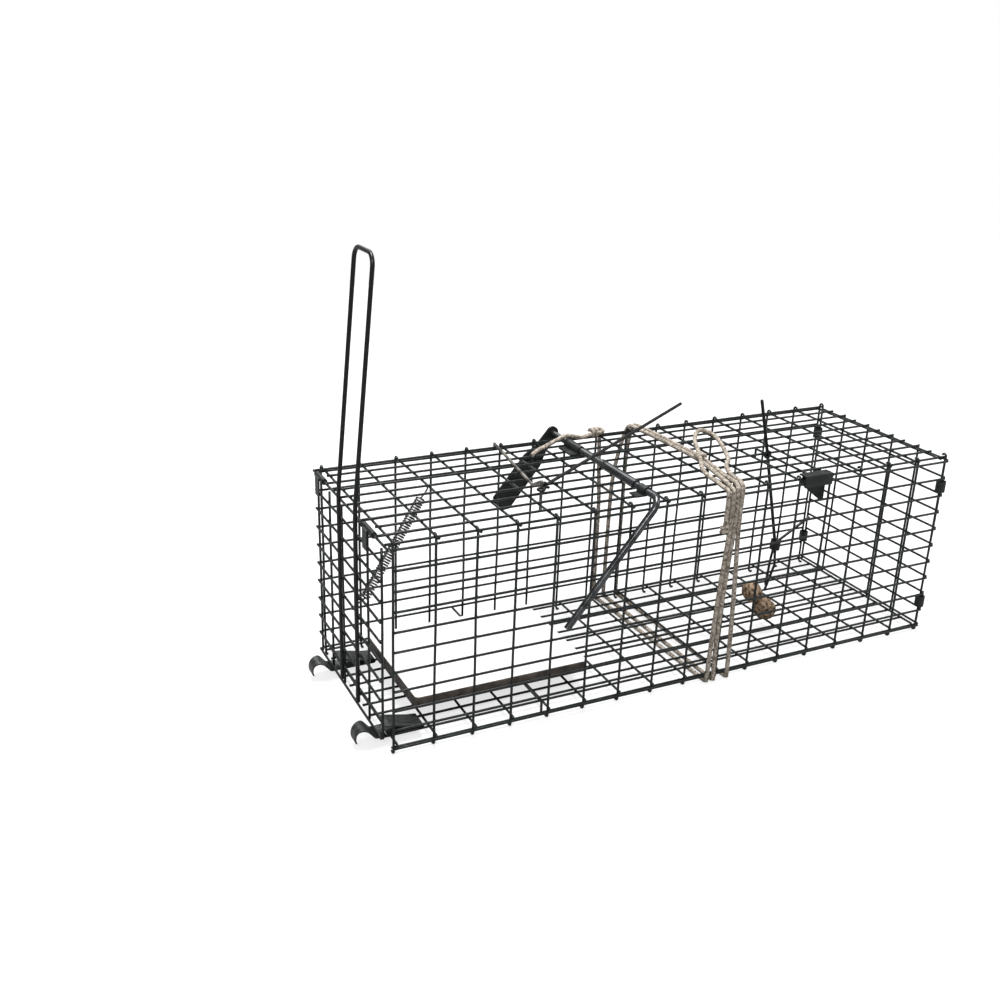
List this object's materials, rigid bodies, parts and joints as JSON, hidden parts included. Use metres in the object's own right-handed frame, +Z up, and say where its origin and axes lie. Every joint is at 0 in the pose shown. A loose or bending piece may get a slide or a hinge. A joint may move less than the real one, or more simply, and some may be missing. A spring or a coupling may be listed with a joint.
{
  "type": "live catch trap",
  "caption": "Welded-wire cage trap: top-hung spring-shut door with setting loop, treadle, cranked rod, roof hold-down rod, bait lever, corded round its middle.",
  "frame": {"origin": "centre of the bounding box in plan, on the plane the trap stands on", "axes": "+X from the door to the rear, +Y from the near side to the far side, +Z up"},
  "size_m": [0.4297, 0.1443, 0.2855],
  "materials": {
    "mesh_wire": "dark grey-green coated wire, satin",
    "black_wire": "black lacquered wire",
    "black_strip": "black lacquered strip",
    "spring_strip": "dark blued spring steel",
    "bright_steel": "bare bright steel",
    "rod_steel": "dark drawn steel, glossy",
    "dull_steel": "dull dark steel",
    "white_plate": "white painted sheet",
    "peanut_shell": "dry peanut shell",
    "cord": "pale braided cord"
  },
  "bodies": {
    "cage": {"side_mesh_near": "mesh_wire", "side_mesh_far": "mesh_wire", "roof_mesh": "mesh_wire", "floor_mesh": "mesh_wire", "rear_mesh": "mesh_wire", "corner_clips": "spring_strip", "hinge_wire": "mesh_wire", "lever_bracket": "black_strip", "latch_clip_near": "spring_strip", "latch_clip_far": "spring_strip", "treadle_pivot": "mesh_wire", "crank_tube": "rod_steel", "crank_saddle_near": "black_strip", "crank_saddle_far": "black_strip", "trigger_bracket": "bright_steel", "lever_pivot": "mesh_wire", "rope": "cord", "rope_knot_roof": "cord", "rope_knot_bow": "cord", "rope_knot_end": "cord"},
    "door": {"door_mesh": "mesh_wire", "hinge_sleeve_near": "spring_strip", "hinge_sleeve_far": "spring_strip", "setting_loop": "black_wire", "door_spring": "dull_steel"},
    "latch_near": {"latch_finger_near": "spring_strip"},
    "latch_far": {"latch_finger_far": "spring_strip"},
    "treadle": {"treadle_plate": "white_plate"},
    "crank": {"crank_rod": "rod_steel", "crank_strap": "black_strip"},
    "trigger_link": {"trigger_link": "dull_steel"},
    "trigger_rod": {"trigger_rod": "black_wire"},
    "bait_lever": {"bait_lever": "black_wire", "bait_crimp": "black_wire", "bait_hook": "black_wire", "bait_peanut": "peanut_shell"}
  },
  "joints": [
    {"name": "door_hinge", "type": "hinge", "parent": "cage", "child": "door", "pos_m": [-0.1994, 0, 0.1327], "axis": [0, 1, 0], "range_deg": [0, 80], "stiffness_Nm_per_rad": 0.12, "springref_deg": -17.19, "deforming": ["door_spring"]},
    {"name": "latch_near_flex", "type": "hinge", "parent": "cage", "child": "latch_near", "pos_m": [-0.196, -0.048, 0.00655], "axis": [0, 1, 0], "range_deg": [-12, 0], "stiffness_Nm_per_rad": 0.2},
    {"name": "latch_far_flex", "type": "hinge", "parent": "cage", "child": "latch_far", "pos_m": [-0.196, 0.037, 0.00655], "axis": [0, 1, 0], "range_deg": [-12, 0], "stiffness_Nm_per_rad": 0.2},
    {"name": "treadle_tilt", "type": "hinge", "parent": "cage", "child": "treadle", "pos_m": [-0.1004, 0, 0.0152], "axis": [0, 1, 0], "range_deg": [0, 5]},
    {"name": "crank_turn", "type": "hinge", "parent": "cage", "child": "crank", "pos_m": [-0.0261, 0, 0.138], "axis": [0, 1, 0], "range_deg": [-36, 140]},
    {"name": "link_swivel", "type": "hinge", "parent": "cage", "child": "trigger_link", "pos_m": [-0.0859, -0.029, 0.1384], "axis": [0, 0, 1], "range_deg": [-20, 10]},
    {"name": "rod_lift", "type": "hinge", "parent": "trigger_link", "child": "trigger_rod", "pos_m": [-0.08048, -0.02642, 0.1384], "axis": [0.4305, -0.9026, 0], "range_deg": [0, 45]},
    {"name": "bait_lever_swing", "type": "hinge", "parent": "cage", "child": "bait_lever", "pos_m": [0.0936, -0.01905, 0.13575], "axis": [0, 1, 0], "range_deg": [-10, 10]}
  ]
}
